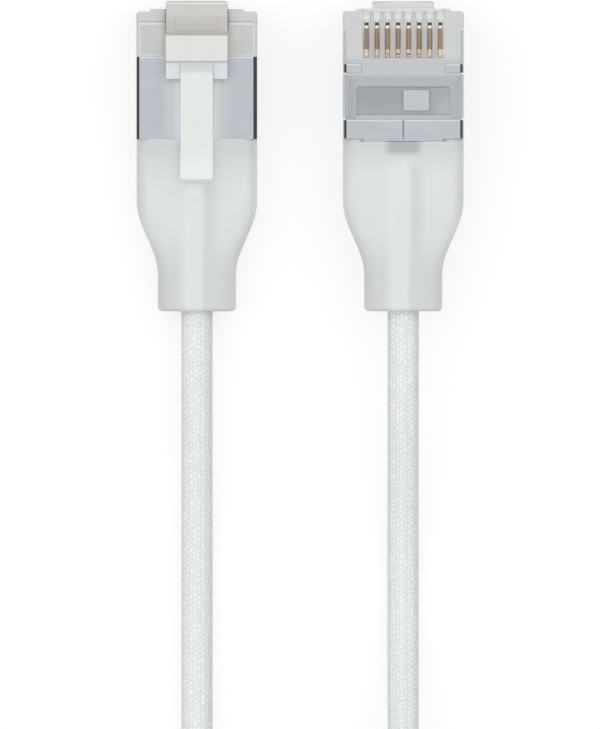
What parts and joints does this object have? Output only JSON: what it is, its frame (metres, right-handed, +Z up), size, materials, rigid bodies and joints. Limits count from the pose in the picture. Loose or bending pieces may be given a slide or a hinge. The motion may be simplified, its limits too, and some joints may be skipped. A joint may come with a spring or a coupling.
{
  "type": "ethernet patch cable",
  "caption": "Slim white braided network patch cable with shielded modular plugs, sprung latches and frosted strain-relief boots, its spare cord coiled and tied.",
  "frame": {"origin": "on the table, at the centre of the rectangle that the two plugs and their latches cover, seen from above", "axes": "+X from plug a to plug b, +Y along both plugs towards their noses, +Z up from the table"},
  "size_m": [0.0428, 0.1235, 0.0146],
  "materials": {
    "clear_plastic": "clear moulded polycarbonate, slightly milky",
    "latch_plastic": "milky moulded polycarbonate",
    "shield_steel": "brushed, nickel plated",
    "contact_gold": "gold plated copper alloy",
    "load_bar_plastic": "moulded, plain",
    "strain_bar_plastic": "moulded, satin",
    "screen_braid": "fine tinned braid",
    "collar_steel": "drawn, nickel plated",
    "cable_jacket": "extruded, matt",
    "woven_sleeve": "fine white nylon braid",
    "frosted_boot": "soft frosted moulding",
    "wire_orange": "extruded insulation",
    "wire_green": "extruded insulation",
    "wire_blue": "extruded insulation",
    "wire_brown": "extruded insulation",
    "tie_strap": "white hook-and-loop strap"
  },
  "bodies": {
    "root": {"housing_a": "clear_plastic", "shield_a": "shield_steel", "load_bar_a": "load_bar_plastic", "strain_bar_a": "strain_bar_plastic", "screen_fold_a": "screen_braid", "crimp_collar_a": "collar_steel", "jacket_end_a": "cable_jacket", "sleeve_end_a": "woven_sleeve", "boot_a": "frosted_boot", "housing_b": "clear_plastic", "shield_b": "shield_steel", "load_bar_b": "load_bar_plastic", "strain_bar_b": "strain_bar_plastic", "screen_fold_b": "screen_braid", "crimp_collar_b": "collar_steel", "jacket_end_b": "cable_jacket", "sleeve_end_b": "woven_sleeve", "boot_b": "frosted_boot", "contact_a1": "contact_gold", "contact_a2": "contact_gold", "contact_a3": "contact_gold", "contact_a4": "contact_gold", "contact_a5": "contact_gold", "contact_a6": "contact_gold", "contact_a7": "contact_gold", "contact_a8": "contact_gold", "contact_b1": "contact_gold", "contact_b2": "contact_gold", "contact_b3": "contact_gold", "contact_b4": "contact_gold", "contact_b5": "contact_gold", "contact_b6": "contact_gold", "contact_b7": "contact_gold", "contact_b8": "contact_gold", "wire_pair_a1": "wire_orange", "wire_pair_a2": "wire_green", "wire_pair_a3": "wire_blue", "wire_pair_a4": "wire_brown", "wire_pair_b1": "wire_orange", "wire_pair_b2": "wire_green", "wire_pair_b3": "wire_blue", "wire_pair_b4": "wire_brown", "cord_lead_a": "woven_sleeve", "cord_lead_b": "woven_sleeve", "cord_coil": "woven_sleeve", "cable_tie": "tie_strap"},
    "latch_a": {"latch_a": "latch_plastic"},
    "latch_b": {"latch_b": "latch_plastic"}
  },
  "joints": [
    {"name": "latch_a_press", "type": "hinge", "parent": "root", "child": "latch_a", "pos_m": [-0.01, 0.01424, 0.0058], "axis": [1, 0, 0], "range_deg": [0, 7], "stiffness_Nm_per_rad": 0.3},
    {"name": "latch_b_press", "type": "hinge", "parent": "root", "child": "latch_b", "pos_m": [0.01, 0.01424, 0.0042], "axis": [-1, 0, 0], "range_deg": [0, 7], "stiffness_Nm_per_rad": 0.3}
  ]
}
